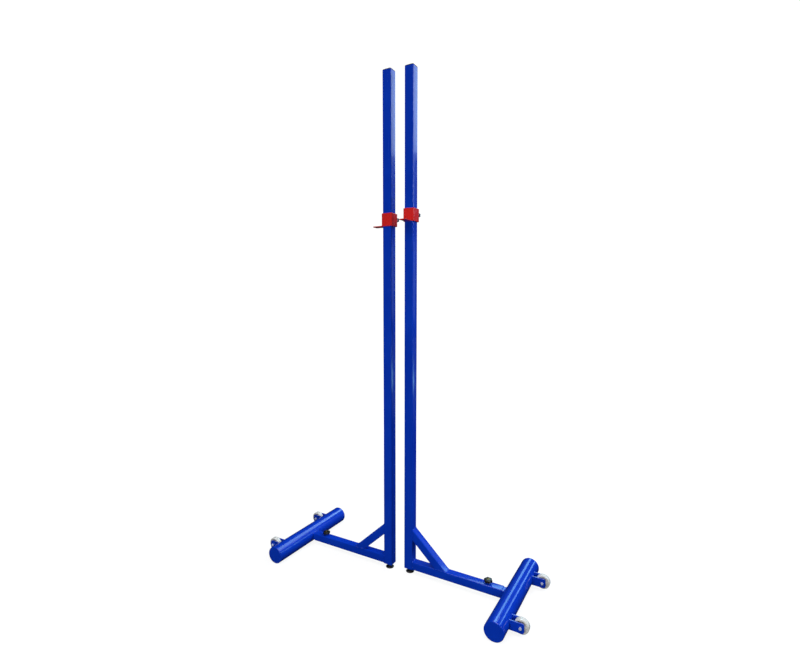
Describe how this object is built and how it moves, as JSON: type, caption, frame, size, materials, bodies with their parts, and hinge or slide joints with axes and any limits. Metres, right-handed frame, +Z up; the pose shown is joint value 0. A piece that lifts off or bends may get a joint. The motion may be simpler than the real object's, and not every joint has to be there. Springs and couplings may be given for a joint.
{
  "type": "high jump standards",
  "caption": "Free-standing high jump standards: square steel uprights with sliding crossbar supports, braced feet and wheeled ballast drums that clamp into the feet.",
  "frame": {"origin": "on the floor, half way between the two uprights as the pair stands, which is also the centre of the whole footprint", "axes": "+Z up along the uprights; +X along the feet, from the left standard to the right one; +Y along the ballast drums, away from the front"},
  "size_m": [1.5476, 0.617, 2.6593],
  "materials": {
    "blue_paint": "gloss",
    "red_paint": "gloss",
    "black_plastic": "matte",
    "nylon": "satin",
    "zinc": "satin",
    "yellow_zinc": "satin",
    "concrete": "matte"
  },
  "bodies": {
    "left_stand": {"left_upright": "blue_paint", "left_upright_cap": "black_plastic", "left_foot_tube": "blue_paint", "left_brace": "blue_paint", "left_foot_clamp_nut": "blue_paint", "left_lock_nut": "zinc"},
    "left_levelling_foot": {"left_levelling_pad": "black_plastic", "left_levelling_stud": "zinc"},
    "left_foot_clamp": {"left_foot_clamp_knob": "black_plastic", "left_foot_clamp_screw": "yellow_zinc"},
    "left_ballast": {"left_stub_tube": "blue_paint", "left_drum_shell": "blue_paint", "left_drum_ballast": "concrete", "left_drum_end_1": "blue_paint", "left_ear_1a": "blue_paint", "left_ear_1b": "blue_paint", "left_axle_bolt_1": "zinc", "left_axle_nut_1": "zinc", "left_drum_end_2": "blue_paint", "left_ear_2a": "blue_paint", "left_ear_2b": "blue_paint", "left_axle_bolt_2": "zinc", "left_axle_nut_2": "zinc"},
    "left_roller_1": {"left_wheel_1": "nylon"},
    "left_roller_2": {"left_wheel_2": "nylon"},
    "left_bar_support": {"left_sleeve": "red_paint", "left_support_plate": "red_paint", "left_sleeve_boss": "red_paint"},
    "left_sleeve_clamp": {"left_sleeve_knob": "black_plastic", "left_sleeve_screw": "zinc"},
    "right_stand": {"right_upright": "blue_paint", "right_upright_cap": "black_plastic", "right_foot_tube": "blue_paint", "right_brace": "blue_paint", "right_foot_clamp_nut": "blue_paint", "right_lock_nut": "zinc"},
    "right_levelling_foot": {"right_levelling_pad": "black_plastic", "right_levelling_stud": "zinc"},
    "right_foot_clamp": {"right_foot_clamp_knob": "black_plastic", "right_foot_clamp_screw": "yellow_zinc"},
    "right_ballast": {"right_stub_tube": "blue_paint", "right_drum_shell": "blue_paint", "right_drum_ballast": "concrete", "right_drum_end_1": "blue_paint", "right_ear_1a": "blue_paint", "right_ear_1b": "blue_paint", "right_axle_bolt_1": "zinc", "right_axle_nut_1": "zinc", "right_drum_end_2": "blue_paint", "right_ear_2a": "blue_paint", "right_ear_2b": "blue_paint", "right_axle_bolt_2": "zinc", "right_axle_nut_2": "zinc"},
    "right_roller_1": {"right_wheel_1": "nylon"},
    "right_roller_2": {"right_wheel_2": "nylon"},
    "right_bar_support": {"right_sleeve": "red_paint", "right_support_plate": "red_paint", "right_sleeve_boss": "red_paint"},
    "right_sleeve_clamp": {"right_sleeve_knob": "black_plastic", "right_sleeve_screw": "zinc"}
  },
  "joints": [
    {"name": "left_bar_height", "type": "slide", "parent": "left_stand", "child": "left_bar_support", "axis": [0, 0, 1], "range_m": [-1.615, 0.7]},
    {"name": "left_sleeve_clamp_turn", "type": "hinge", "parent": "left_bar_support", "child": "left_sleeve_clamp", "pos_m": [-0.06, 0.0465, 1.921], "axis": [0, 1, 0], "range_deg": [0, 720]},
    {"name": "left_ballast_slide", "type": "slide", "parent": "left_stand", "child": "left_ballast", "axis": [-1, 0, 0], "range_m": [-0.008, 0.1]},
    {"name": "left_foot_clamp_turn", "type": "hinge", "parent": "left_stand", "child": "left_foot_clamp", "pos_m": [-0.5103, -0.0085, 0.08], "axis": [0, 0, 1], "range_deg": [0, 720]},
    {"name": "left_levelling_turn", "type": "hinge", "parent": "left_stand", "child": "left_levelling_foot", "pos_m": [-0.06, -0.0085, 0.006], "axis": [0, 0, 1], "range_deg": [-720, 720]},
    {"name": "left_wheel_1_spin", "type": "hinge", "parent": "left_ballast", "child": "left_roller_1", "pos_m": [-0.7388, 0.1865, 0.0475], "axis": [0, 1, 0], "continuous": true},
    {"name": "left_wheel_2_spin", "type": "hinge", "parent": "left_ballast", "child": "left_roller_2", "pos_m": [-0.7388, -0.2035, 0.0475], "axis": [0, 1, 0], "continuous": true},
    {"name": "standards_apart", "type": "slide", "parent": "left_stand", "child": "right_stand", "axis": [1, 0, 0], "range_m": [0, 3.95]},
    {"name": "right_bar_height", "type": "slide", "parent": "right_stand", "child": "right_bar_support", "axis": [0, 0, 1], "range_m": [-1.633, 0.685]},
    {"name": "right_sleeve_clamp_turn", "type": "hinge", "parent": "right_bar_support", "child": "right_sleeve_clamp", "pos_m": [0.06, 0.0635, 1.939], "axis": [0, 1, 0], "range_deg": [0, 720]},
    {"name": "right_ballast_slide", "type": "slide", "parent": "right_stand", "child": "right_ballast", "axis": [1, 0, 0], "range_m": [-0.008, 0.1]},
    {"name": "right_foot_clamp_turn", "type": "hinge", "parent": "right_stand", "child": "right_foot_clamp", "pos_m": [0.5103, 0.0085, 0.08], "axis": [0, 0, 1], "range_deg": [0, 720]},
    {"name": "right_levelling_turn", "type": "hinge", "parent": "right_stand", "child": "right_levelling_foot", "pos_m": [0.06, 0.0085, 0.006], "axis": [0, 0, 1], "range_deg": [-720, 720]},
    {"name": "right_wheel_1_spin", "type": "hinge", "parent": "right_ballast", "child": "right_roller_1", "pos_m": [0.7388, -0.1865, 0.0475], "axis": [0, 1, 0], "continuous": true},
    {"name": "right_wheel_2_spin", "type": "hinge", "parent": "right_ballast", "child": "right_roller_2", "pos_m": [0.7388, 0.2035, 0.0475], "axis": [0, 1, 0], "continuous": true}
  ]
}
